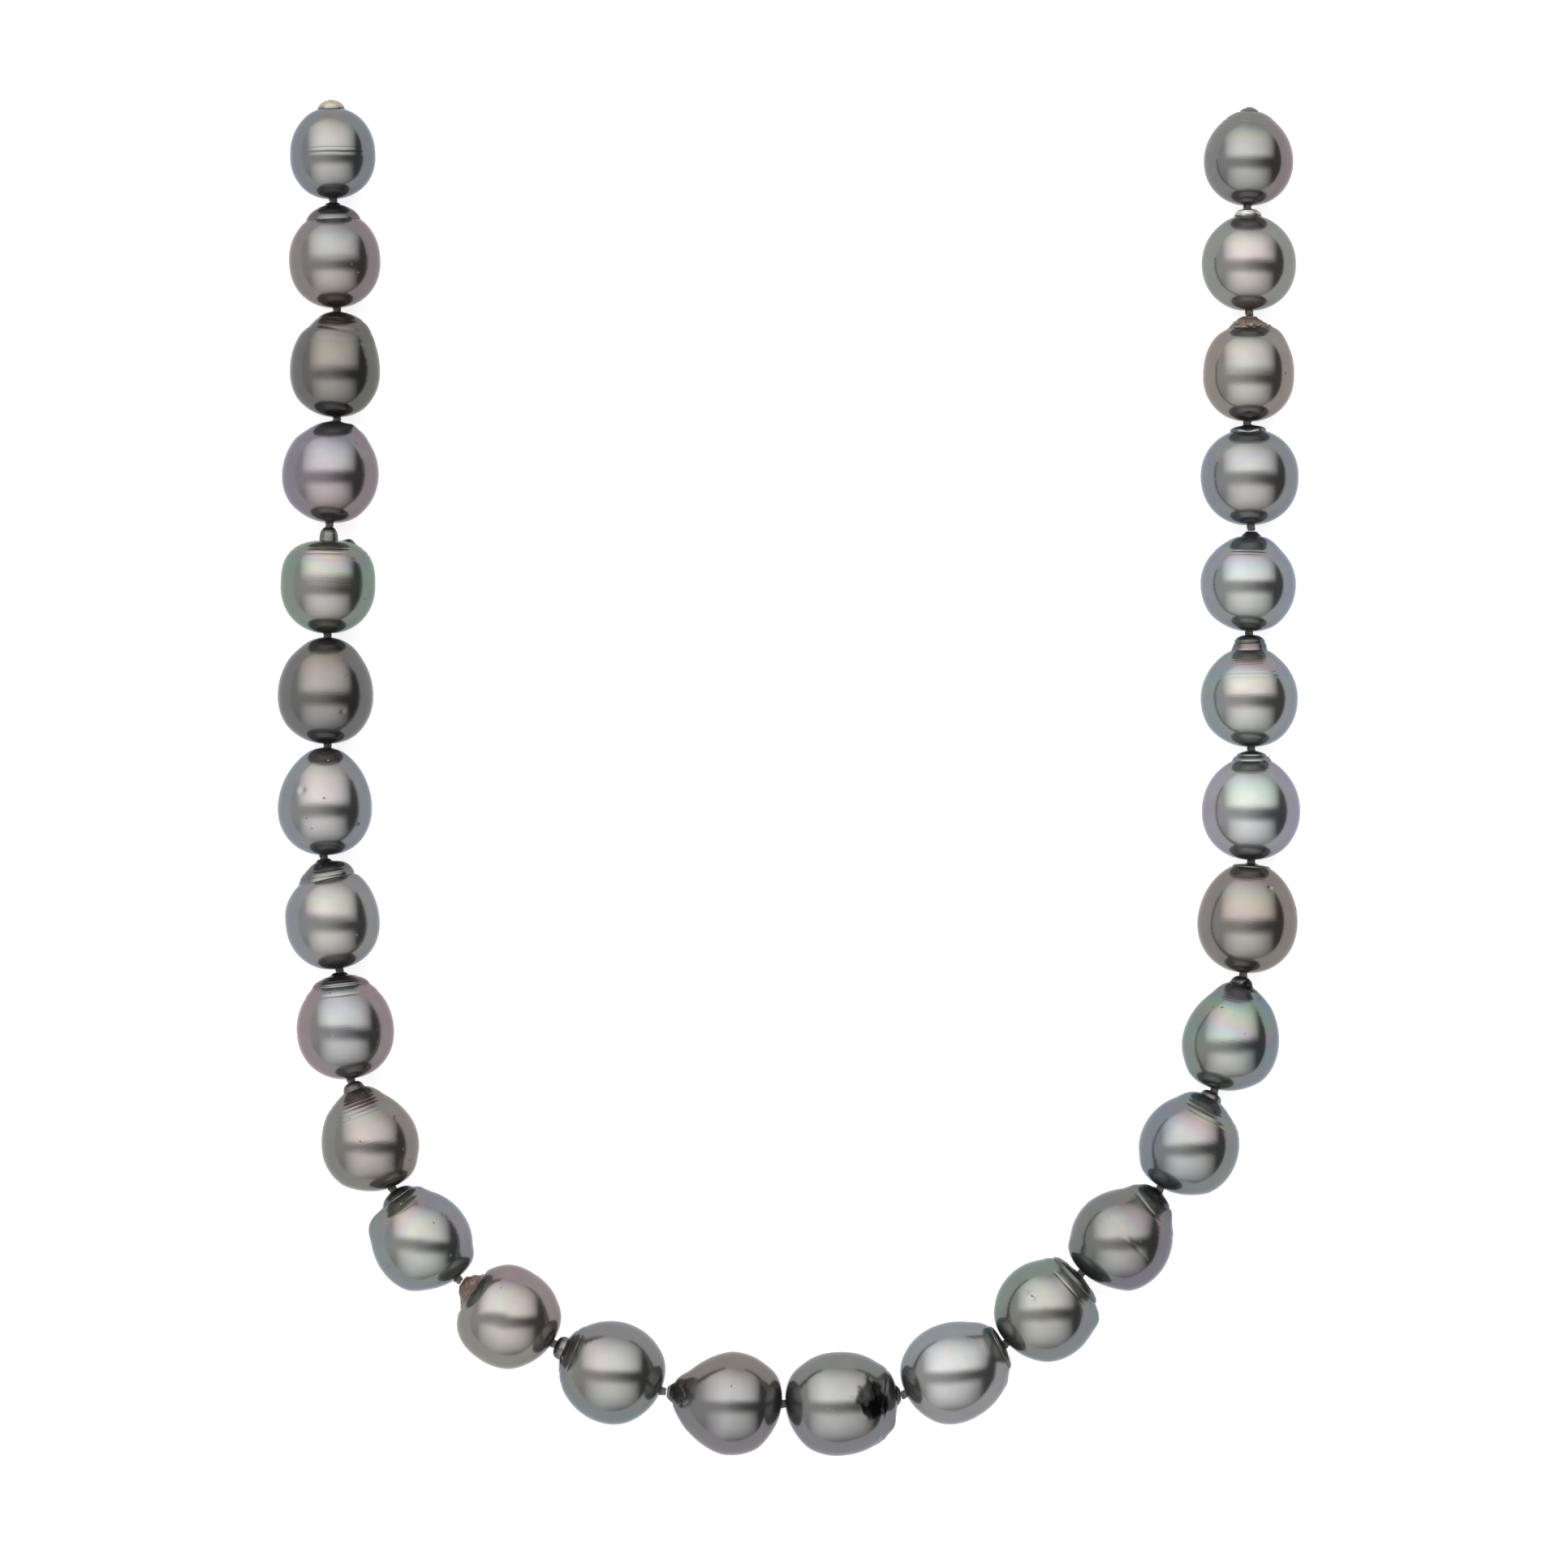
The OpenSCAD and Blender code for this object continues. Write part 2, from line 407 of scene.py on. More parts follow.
place = add(pearl_tree, "ShaderNodeCombineXYZ",
            {"X": out_at * top, "Y": out_at * side + aside, "Z": up_at})
shape = grid.outputs["Mesh"]
for name, field in (("along", along), ("side", side), ("outer", outer)):
    stored = add(pearl_tree, "GeometryNodeStoreNamedAttribute",
                 {"Geometry": shape, "Name": name, "Value": field}, data_type="FLOAT", domain="POINT")
    shape = stored.outputs[0]
rolled = add(pearl_tree, "GeometryNodeSetPosition", {"Geometry": shape, "Position": place.outputs[0]})
merged = add(pearl_tree, "GeometryNodeMergeByDistance",
             {"Geometry": rolled.outputs[0], "Distance": 0.001 * MM})
print("pearl tree, first step:", len(pearl_tree.nodes), "nodes")

# %% [markdown]
# The second step. Every relief is a height in metres, added up and then pushed out along the normal.
# A groove's place is a share of the way from the round end (0) to the hole in the tip (1).

# %% Add the relief
STAIN_WRINKLE = 0.4 * MM    # height of the folds in a stained patch
STAIN_LOBES = 2.2 * MM      # size of the lobes of its ragged edge
FLARE_UP = 0.05             # how far a flare reaches up the tip from its foot, as a share of the way
FLARE_DOWN = 0.10           # and down the shoulder
WANDERING = 0.012           # how far a groove strays from a true ring
FADE_IN = 0.14              # share of the way over which relief sets in at the round end
FADE_OUT = (0.965, 0.995)   # and dies out at the tip, so that neighbours and knots stay clear


def kept(name):
    """A number that the first step stored on the skin."""
    node = add(pearl_tree, "GeometryNodeInputNamedAttribute", {"Name": name}, data_type="FLOAT")
    return Field(pearl_tree, node.outputs["Attribute"])


def noise(tree, coordinate, size, seed=0.0, detail=2.0):
    """Even noise around 0, with blotches of the given size."""
    node = add(tree, "ShaderNodeTexNoise",
               {"Vector": coordinate, "W": seed, "Scale": 1 / size, "Detail": detail}, noise_dimensions="4D")
    return Field(tree, node.outputs[0]) - 0.5


here = add(pearl_tree, "GeometryNodeInputPosition").outputs[0]


def distance_to(centre):
    """How far each point of the skin is from a point."""
    off = add(pearl_tree, "ShaderNodeVectorMath", {0: here, 1: centre}, operation="DISTANCE")
    return Field(pearl_tree, off.outputs["Value"])


along = kept("along")
side = kept("side")
wander = noise(pearl_tree, here, 5 * MM, given["Seed"] + 3)
relief = noise(pearl_tree, here, 6 * MM, given["Seed"], 1.0) * given["Unevenness"]
from_foot = along - (1 - TIP_SHARE)
tip_side = from_foot.math("MAXIMUM", 0) / FLARE_UP
shoulder_side = from_foot.math("MINIMUM", 0) / FLARE_DOWN
foot = ((tip_side * tip_side + shoulder_side * shoulder_side) * -1).math("EXPONENT")
relief = relief + foot * given["Collar Flare"]
tip_top = stretch(along, 1 - 0.8 * TIP_SHARE, 1 - 0.4 * TIP_SHARE)
relief = relief - tip_top * given["Tip Lean"]
for n in range(1, GROOVES + 1):
    at = along + given[f"Groove {n} Slant"] * side + wander * WANDERING
    dip = at.hump(given[f"Groove {n} Place"], given[f"Groove {n} Breadth"])
    relief = relief - dip * given[f"Groove {n} Depth"]
for n in range(1, BUMPS + 1):
    bulge = distance_to(given[f"Bump {n} Centre"]).hump(0, given[f"Bump {n} Breadth"])
    relief = relief + bulge * given[f"Bump {n} Height"]
phase = along * given["Ripple Count"] * (2 * math.pi) + wander * 3
start = given["Ripple Start"]
end = given["Ripple End"]
rippled = along.ramp(start, start + 0.04) * (1 - along.ramp(end - 0.04, end))
relief = relief + phase.math("SINE") * rippled * given["Ripple Depth"]
ragged = noise(pearl_tree, here, STAIN_LOBES, given["Seed"] + 5, 4.0) * 1.6 + 1
stain_edge = ragged * given["Stain Breadth"]
stain = 1 - (distance_to(given["Stain Centre"]) / stain_edge).ramp(0.85, 1.1)
crumple = noise(pearl_tree, here, 0.9 * MM, given["Seed"] + 7, 3.0)
wrinkle = noise(pearl_tree, here, 1.3 * MM, given["Seed"] + 8, 3.0)
relief = relief + crumple * along.ramp(0.66, 0.74) * given["Tip Crumple"] + wrinkle * stain * STAIN_WRINKLE
relief = relief * along.ramp(0, FADE_IN) * (1 - along.ramp(*FADE_OUT)) * kept("outer")

# The rolled grid's normals point inwards, so a relief goes against them
push = add(pearl_tree, "ShaderNodeVectorMath", {0: add(pearl_tree, "GeometryNodeInputNormal").outputs[0],
                                                "Scale": relief * -1}, operation="SCALE")
stained = add(pearl_tree, "GeometryNodeStoreNamedAttribute",
              {"Geometry": merged.outputs[0], "Name": "stain", "Value": stain * kept("outer")},
              data_type="FLOAT", domain="POINT")
shaped = add(pearl_tree, "GeometryNodeSetPosition",
             {"Geometry": stained.outputs[0], "Offset": push.outputs[0]})
smooth = add(pearl_tree, "GeometryNodeSetShadeSmooth", {"Geometry": shaped.outputs[0]})
real = add(pearl_tree, "GeometryNodeRealizeInstances", {"Geometry": smooth.outputs[0]})
skinned = add(pearl_tree, "GeometryNodeSetMaterial",
              {"Geometry": real.outputs[0], "Material": given["Skin"]})
pearl_tree.links.new(skinned.outputs[0], exit_node.inputs["Pearl"])
print("pearl tree, with relief:", len(pearl_tree.nodes), "nodes")

# %% [markdown]
# ## From a tree to a plain mesh
# The modifier's inputs are set before it is first worked out. The result is copied to a plain mesh, moved to
# its place on the strand and turned outside out if need be. No modifier is left on the piece.

# %% Make a plain mesh from a tree


def grow(tree, name, values, place):
    """A plain mesh object made by a tree, with its place in its mesh."""
    seed_mesh = bpy.data.meshes.new(name + "_seed")
    piece = bpy.data.objects.new(name, seed_mesh)
    bpy.context.scene.collection.objects.link(piece)
    modifier = piece.modifiers.new(name, "NODES")
    modifier.node_group = tree
    for item in tree.interface.items_tree:
        if item.in_out == "INPUT" and item.name in values:
            modifier[item.identifier] = values[item.name]
    evaluated = piece.evaluated_get(bpy.context.evaluated_depsgraph_get())
    mesh = bpy.data.meshes.new_from_object(evaluated)
    piece.modifiers.clear()
    mesh.transform(place)
    shell = bmesh.new()
    shell.from_mesh(mesh)
    if shell.calc_volume(signed=True) < 0:
        bmesh.ops.reverse_faces(shell, faces=shell.faces)
        shell.to_mesh(mesh)
    shell.free()
    mesh.name = name
    piece.data = mesh
    bpy.data.meshes.remove(seed_mesh)
    return piece


def stand(foot, head):
    """The place that lifts +Z from foot towards head, with +X up from the floor."""
    z_axis = (head - foot).normalized()
    y_axis = z_axis.cross(Vector((0, 0, 1))).normalized()
    x_axis = y_axis.cross(z_axis)
    turn_to = Matrix((x_axis, y_axis, z_axis)).transposed().to_4x4()
    return Matrix.Translation(foot) @ turn_to


# %% [markdown]
# ## Twenty-eight different pearls
# Each row is one pearl, from the strand's left end. tip is the tip's width, height and form, and shoulder the
# shoulder's form; both repeat the CAD model. A groove is its place, depth, breadth and slant. A bump is its
# height up the pearl from the round end as a share, the angle round it (90 is the right flank, seen tip
# up), its breadth and its height; below 0 it is a dimple. A ripple is its start, end, count and depth. aside
# is how far the body stands out to the right of its drill hole, flare how much the foot of the tip spreads
# into the shoulder, lean how far the tip draws in above its foot, and slant how much the cap tilts. A stain
# is its height as a share, its angle, its breadth and its strength. Lengths are in millimetres. The tints are
# those of the tip half, the round half, the left flank and the right flank, and depth is how light the nacre
# is. bands, rings, flaws, residue and shade are the strengths of the effects on the skin.

# %% Overtones of dark nacre
TINTS = {
    "silver": (1.00, 1.00, 1.00),
    "sage": (0.98, 1.02, 0.94),
    "mint": (0.93, 1.04, 0.97),
    "teal": (0.86, 1.01, 1.02),
    "green": (0.86, 1.06, 0.90),
    "ice": (0.96, 1.00, 1.04),
    "steel": (0.90, 0.99, 1.07),
    "blue": (0.86, 0.98, 1.12),
    "lavender": (1.00, 0.96, 1.08),
    "violet": (0.95, 0.91, 1.10),
    "rose": (1.14, 0.93, 0.96),
    "blush": (1.08, 0.99, 0.95),
    "tan": (1.13, 1.00, 0.89),
    "brown": (1.12, 0.98, 0.86),
    "cream": (1.06, 1.02, 0.94),
    "olive": (1.01, 1.02, 0.88),
}

# %% Describe the pearls
BROWN_HORN = (0.060, 0.040, 0.030, 1)
BLACK_HORN = (0.016, 0.012, 0.010, 1)


def pearl(tip, shoulder, tints, depth, **more):
    """One pearl's row, with what it doesn't have left at nothing or at a common value."""
    row = dict(tip=tip, shoulder=shoulder, tints=tints, depth=depth, grooves=(), bumps=(),
               ripple=(0, 0, 0, 0), slant=0.0, aside=0.0, flare=0.12, lean=0.0,
               stain=(0.5, 0, 0.001, 0), uneven=0.12, crumple=0.0, rings=0.3, flaws=0.0,
               residue=0.0, horn=BROWN_HORN, dull_horn=0.4, bands=0.03, shade=0.6)
    row.update(more)
    return row


# A row's shade darkens the tip's colour: partly the nub's own duller grey, partly painted shade.
PEARLS = [
    pearl((3.6, 1.3, 2.0), 2.15, ("cream", "silver", "steel", "steel"), 0.28, aside=0.1,
          grooves=[(0.285, 0.025, 0.008, 0), (0.315, 0.02, 0.007, 0), (0.70, 0.03, 0.012, 0)], flare=0.05,
          residue=0.9, horn=(0.26, 0.21, 0.165, 1), dull_horn=0.15, shade=0),
    pearl((7.0, 2.5, 2.0), 2.35, ("silver", "tan", "blush", "rose"), 0.26, lean=0.2,
          flare=0.15, shade=0.75),
    pearl((2.4, 0.3, 2.0), 2.05, ("brown", "cream", "silver", "olive"), 0.17, aside=-0.2,
          grooves=[(0.60, 0.06, 0.014, 0.03), (0.52, 0.04, 0.014, 0.035), (0.44, 0.02, 0.012, 0.02)],
          bumps=[(0.84, 75, 2.2, 0.35), (0.88, -80, 1.6, -0.25)], crumple=0.15, rings=0.6),
    pearl((2.4, 0.3, 2.0), 2.0, ("lavender", "rose", "violet", "rose"), 0.28, aside=-0.3,
          bumps=[(0.94, 55, 0.8, 0.3)], rings=0.1),
    pearl((2.5, 1.9, 2.5), 2.8, ("cream", "cream", "green", "green"), 0.305,
          grooves=[(0.50, 0.05, 0.006, 0), (0.545, 0.05, 0.006, 0), (0.455, 0.02, 0.006, 0)],
          bumps=[(0.853, 85, 0.8, 0.45), (0.85, 120, 0.6, 0.25)], rings=0.7, bands=0.08, flare=0.0,
          stain=(0.853, 85, 1.1, 0.8)),
    pearl((2.8, 0.3, 2.0), 2.0, ("tan", "silver", "silver", "silver"), 0.19, aside=-0.2, rings=0.5,
          bumps=[(0.30, 25, 0.22, -0.16)]),
    pearl((2.8, 0.3, 2.0), 1.9, ("blush", "silver", "steel", "steel"), 0.325, flaws=0.45,
          bumps=[(0.60, -28, 0.5, -0.12), (0.30, 55, 0.3, 0.10)]),
    pearl((7.4, 2.8, 2.0), 2.3, ("cream", "blush", "steel", "silver"), 0.325, aside=0.05,
          grooves=[(0.72, 0.08, 0.014, 0.03), (0.80, 0.04, 0.012, 0.04)], slant=0.12, lean=0.25, flare=0.1,
          shade=0.6),
    pearl((7.4, 2.0, 2.2), 2.1, ("ice", "silver", "rose", "rose"), 0.305,
          grooves=[(0.60, 0.05, 0.010, 0)], ripple=(0.70, 0.97, 20, 0.02), rings=0.7, lean=0.3,
          flare=0.2, shade=0.75),
    pearl((2.8, 1.2, 2.6), 1.75, ("blush", "tan", "sage", "tan"), 0.27, aside=-0.6,
          ripple=(0.42, 0.62, 34, 0.016), rings=1.0, bumps=[(0.60, 50, 0.35, 0.10)], bands=0.05),
    pearl((4.6, 1.2, 2.0), 2.05, ("cream", "mint", "teal", "lavender"), 0.315, aside=-0.9,
          grooves=[(0.60, 0.05, 0.02, 0)], bumps=[(0.85, -85, 1.7, 0.7)], flaws=0.9, rings=0.5, bands=0.06),
    pearl((4.6, 2.0, 1.2), 2.5, ("cream", "tan", "olive", "rose"), 0.315, aside=-0.4,
          grooves=[(0.67, 0.24, 0.012, 0)], crumple=0.8, residue=1.4, flare=0.0,
          horn=(0.085, 0.058, 0.044, 1)),
    pearl((3.2, 1.3, 2.8), 1.95, ("cream", "sage", "teal", "silver"), 0.29, aside=-0.3,
          grooves=[(0.62, 0.06, 0.008, 0), (0.56, 0.05, 0.008, 0)], rings=0.6,
          bumps=[(0.895, -30, 0.9, 0.18), (0.895, -30, 0.4, -0.32)], flare=0.0),
    pearl((3.0, 1.6, 1.4), 1.6, ("silver", "silver", "lavender", "brown"), 0.255, aside=-0.6, flare=0.3,
          stain=(0.84, 10, 1.6, 0.25), residue=0.3, horn=(0.12, 0.11, 0.085, 1)),
    pearl((3.0, 1.0, 1.3), 2.2, ("sage", "silver", "sage", "lavender"), 0.27, aside=0.5,
          grooves=[(0.56, 0.10, 0.012, 0.05)], bumps=[(0.88, 78, 1.2, 0.45), (0.80, 88, 1.0, 0.2)],
          crumple=0.35, residue=0.7, stain=(0.735, -4, 2.6, 1.0)),
    pearl((6.2, 0.9, 2.6), 1.95, ("silver", "silver", "steel", "silver"), 0.37, aside=0.25,
          grooves=[(0.72, 0.10, 0.010, 0), (0.78, 0.06, 0.010, 0)],
          lean=0.05, bumps=[(0.86, 88, 0.8, 0.15)], residue=0.75, horn=BLACK_HORN, crumple=0.15),
    pearl((8.2, 1.2, 2.6), 2.0, ("cream", "olive", "green", "steel"), 0.295, aside=0.35,
          grooves=[(0.72, 0.12, 0.010, 0), (0.78, 0.10, 0.010, 0), (0.60, 0.05, 0.010, 0)],
          lean=0.12, flare=0.05,
          bumps=[(0.82, 88, 1.5, 0.45), (0.50, -24, 0.40, -0.16), (0.52, -30, 0.25, 0.12)],
          residue=0.5, horn=BLACK_HORN, crumple=0.20, rings=0.6),
    pearl((4.7, 1.5, 2.2), 1.85, ("blush", "mint", "sage", "violet"), 0.245, aside=0.85, lean=0.1, flare=0.3,
          bumps=[(0.90, 80, 1.4, 0.5)],
          grooves=[(0.58, 0.05, 0.014, 0.04), (0.32, 0.02, 0.014, 0.04)], rings=0.6, bands=0.06,
          stain=(0.94, 0, 1.8, 0.35)),
    pearl((2.9, 1.0, 2.6), 1.95, ("blush", "teal", "blue", "mint"), 0.3, aside=0.6,
          ripple=(0.45, 0.62, 26, 0.014), rings=0.7, bands=0.06, crumple=0.15, shade=0.2),
    pearl((3.1, 1.4, 2.4), 1.85, ("mint", "sage", "green", "blue"), 0.31, aside=0.5, flare=0.25,
          bumps=[(0.93, 25, 0.6, -0.35), (0.86, 40, 0.6, -0.2)], bands=0.11, rings=0.6,
          stain=(0.91, 30, 1.1, 0.9)),
    pearl((5.0, 0.5, 2.5), 1.95, ("tan", "cream", "blush", "brown"), 0.26, rings=0.5, flare=0.0, lean=0.08,
          bumps=[(0.79, 28, 0.3, -0.22), (0.62, 75, 0.25, -0.2)], bands=0.04),
    pearl((5.1, 1.5, 2.0), 2.0, ("mint", "ice", "lavender", "violet"), 0.41, aside=-0.1,
          grooves=[(0.84, 0.14, 0.016, 0)], flare=0.1, bands=0.04, shade=0.35),
    pearl((4.5, 2.2, 3.0), 2.0, ("blush", "sage", "teal", "steel"), 0.37, aside=-0.2,
          grooves=[(0.82, 0.12, 0.014, 0), (0.46, 0.03, 0.005, 0), (0.43, 0.03, 0.005, 0)],
          rings=0.9, bands=0.07, flare=0.2, shade=0.75),
    pearl((3.2, 1.4, 1.3), 2.0, ("ice", "sage", "steel", "blue"), 0.37, aside=-0.3,
          grooves=[(0.52, 0.03, 0.007, 0), (0.495, 0.025, 0.006, 0)], bands=0.05, flare=0.35),
    pearl((4.8, 0.9, 3.0), 2.1, ("silver", "blush", "steel", "steel"), 0.32, flare=0.0, lean=0.08,
          bumps=[(0.97, 0, 0.9, -0.6), (0.97, 180, 0.9, -0.6)]),
    pearl((5.4, 1.9, 1.25), 2.4, ("cream", "cream", "tan", "tan"), 0.305,
          bumps=[(0.84, 80, 1.8, 0.4), (0.97, 20, 0.6, -0.4)], crumple=1.1, residue=0.95,
          horn=(0.10, 0.074, 0.056, 1), flare=0.0),
    pearl((3.7, 1.3, 3.0), 2.1, ("blush", "blush", "sage", "sage"), 0.34,
          grooves=[(0.76, 0.14, 0.012, 0), (0.82, 0.14, 0.012, 0), (0.88, 0.14, 0.012, 0)],
          residue=0.75, horn=(0.48, 0.47, 0.45, 1), dull_horn=0.05,
          flare=0.2, shade=0),
    pearl((3.0, 1.0, 1.8), 2.0, ("sage", "silver", "silver", "rose"), 0.265, flare=0.35,
          grooves=[(0.60, 0.04, 0.007, 0), (0.56, 0.03, 0.007, 0)], rings=0.5,
          residue=0.35, horn=(0.045, 0.05, 0.055, 1), shade=0.7),
]
print(len(PEARLS), "pearls described")

# %% [markdown]
# ## Nacre
# Dark nacre is a stack of thin clear layers over a dark body, so it mirrors its surroundings softly, a good
# deal of the light is lost, and each zone has its own overtone. One way is a clear coat over a dark
# plastic; but its mirror is too faint. Here the skin is mostly metallic, with a dark tinted base, which gives
# a strong tinted mirror, and a thin coat on it. Three effects are groups, because every pearl uses them.

# %% The overtone group
BAND_TURNS = 27             # how fast the bands follow each other, in radians over the way to the tip
# Red, green and blue are a third of a turn apart, as in a thin film
BAND_SHIFTS = (0, 2.1, 4.2)

overtone, given, exit_node = new_tree(
    "Overtone",
    "ShaderNodeTree",
    {
        "Tip Half": "Color",
        "Round Half": "Color",
        "Left Flank": "Color",
        "Right Flank": "Color",
        "Depth": "Float",
        "Banding": "Float",
        "Seed": "Float",
    },
    {"Color": "Color"},
)


def painted(tree, name):
    """An attribute of the skin, in a material."""
    return Field(tree, add(tree, "ShaderNodeAttribute", attribute_name=name).outputs["Fac"])


def blend_colour(tree, share, first, second, blend="MIX"):
    """The mix of two colours."""
    node = add(tree, "ShaderNodeMix", {0: share, 6: first, 7: second}, data_type="RGBA", blend_type=blend)
    return node.outputs[2]


where = add(overtone, "ShaderNodeTexCoord").outputs["Object"]
cloud = noise(overtone, where, 5 * MM, given["Seed"], 1.0)
along = painted(overtone, "along") + cloud * 0.25
side = painted(overtone, "side") + cloud * 0.5
halves = blend_colour(overtone, along.ramp(0.10, 0.42), given["Round Half"], given["Tip Half"])
with_left = blend_colour(overtone, (side * -1).ramp(0.30, 0.85), halves, given["Left Flank"])
with_right = blend_colour(overtone, side.ramp(0.30, 0.85), with_left, given["Right Flank"])
phase = along * BAND_TURNS + cloud * 2 + given["Seed"]
near_tip = along.ramp(0.24, 0.42) * 0.8 + 0.2
hues = [(phase - shift).math("COSINE") * given["Banding"] * near_tip + 1 for shift in BAND_SHIFTS]
rainbow = add(overtone, "ShaderNodeCombineColor", dict(zip(("Red", "Green", "Blue"), hues)))
banded = blend_colour(overtone, 1.0, with_right, rainbow.outputs[0], "MULTIPLY")
shade = (1 + noise(overtone, where, 2.2 * MM, given["Seed"] + 5) * 0.22) * given["Depth"]
deep = add(overtone, "ShaderNodeVectorMath", {0: banded, "Scale": shade}, operation="SCALE")
overtone.links.new(deep.outputs[0], exit_node.inputs["Color"])
print("overtone group:", len(overtone.nodes), "nodes")

# %% [markdown]
# Flaws: small pits gathered in patches. Growth rings: fine lines round the axis, strongest near the tip.
# Residue: the brown rough horn that some tips keep.

# %% The flaw, ring and residue groups
PIT_SPACING = 0.95 * MM
RING_COUNT = 90             # growth rings from the round end to the tip

flaw_group, given, exit_node = new_tree(
    "Flaws", "ShaderNodeTree", {"Amount": "Float", "Seed": "Float"}, {"Pits": "Float"})
where = add(flaw_group, "ShaderNodeTexCoord").outputs["Object"]
cells = add(flaw_group, "ShaderNodeTexVoronoi",
            {"Vector": where, "W": given["Seed"], "Scale": 1 / PIT_SPACING, "Randomness": 1.0},
            voronoi_dimensions="4D", feature="F1")
patch = noise(flaw_group, where, 4 * MM, given["Seed"] + 2, 1.0)
chosen = (patch + given["Amount"] * 0.16 - 0.12).ramp(0, 0.02)
pits = (1 - Field(flaw_group, cells.outputs["Distance"]).ramp(0.10, 0.24)) * chosen
flaw_group.links.new(pits.socket, exit_node.inputs["Pits"])

ring_group, given, exit_node = new_tree(
    "Growth rings", "ShaderNodeTree", {"Amount": "Float", "Seed": "Float"}, {"Height": "Float"})
where = add(ring_group, "ShaderNodeTexCoord").outputs["Object"]
drift = noise(ring_group, where, 4 * MM, given["Seed"], 1.0) * 0.03
across = (painted(ring_group, "along") + drift) * RING_COUNT
line = add(ring_group, "ShaderNodeTexNoise", {"W": across, "Scale": 1.0, "Detail": 2.0},
           noise_dimensions="1D")
near_tip = painted(ring_group, "along").ramp(0.30, 0.62) * 0.8 + 0.2
height = (Field(ring_group, line.outputs[0]) - 0.5) * near_tip * given["Amount"]
ring_group.links.new(height.socket, exit_node.inputs["Height"])

residue_group, given, exit_node = new_tree(
    "Tip residue", "ShaderNodeTree", {"Amount": "Float", "Seed": "Float"}, {"Mask": "Float"})
where = add(residue_group, "ShaderNodeTexCoord").outputs["Object"]
crumbs = noise(residue_group, where, 1.1 * MM, given["Seed"], 3.0)
reach_down = painted(residue_group, "along") + given["Amount"] * 0.22 + crumbs * 0.16
mask = reach_down.ramp(0.93, 0.99) * given["Amount"].ramp(0, 0.1)
residue_group.links.new(mask.socket, exit_node.inputs["Mask"])

# %% Mix a skin for each pearl
METAL = 0.9
NACRE_ROUGH = 0.16
# colour of the painted shade in the pits' hollows
PIT_SHADE_DARK = (0.03, 0.028, 0.028, 1)
# colour of the darkened tip: partly the nub's own duller grey, partly painted shade
TIP_GREY_AND_SHADE = (0.040, 0.038, 0.036, 1)
STAIN_DARK = (0.010, 0.009, 0.009, 1)
EDGE = (0.60, 0.60, 0.64)   # how much of the mirror is left at a glancing angle
TINT_STRENGTH = 0.9
EDGE_STRENGTH = 0.8
DEPTH_SCALE = 0.46          # from a row's depth to the base colour's


def tinted(name, strength=TINT_STRENGTH):
    """An overtone, weakened towards grey."""
    return (*[1 + (v - 1) * strength for v in TINTS[name]], 1)


def edge_tint(left, right):
    """The constant tint of the rim, from the tints of the two flanks."""
    flanks = zip(EDGE, tinted(left, EDGE_STRENGTH), tinted(right, EDGE_STRENGTH))
    return (*[mirror * (a + b) / 2 for mirror, a, b in flanks], 1)


def set_sockets(shader, **values):
    """Sets constant numbers and colours on the shader's own sockets."""
    for name, value in values.items():
        shader.inputs[name.replace("_", " ")].default_value = value


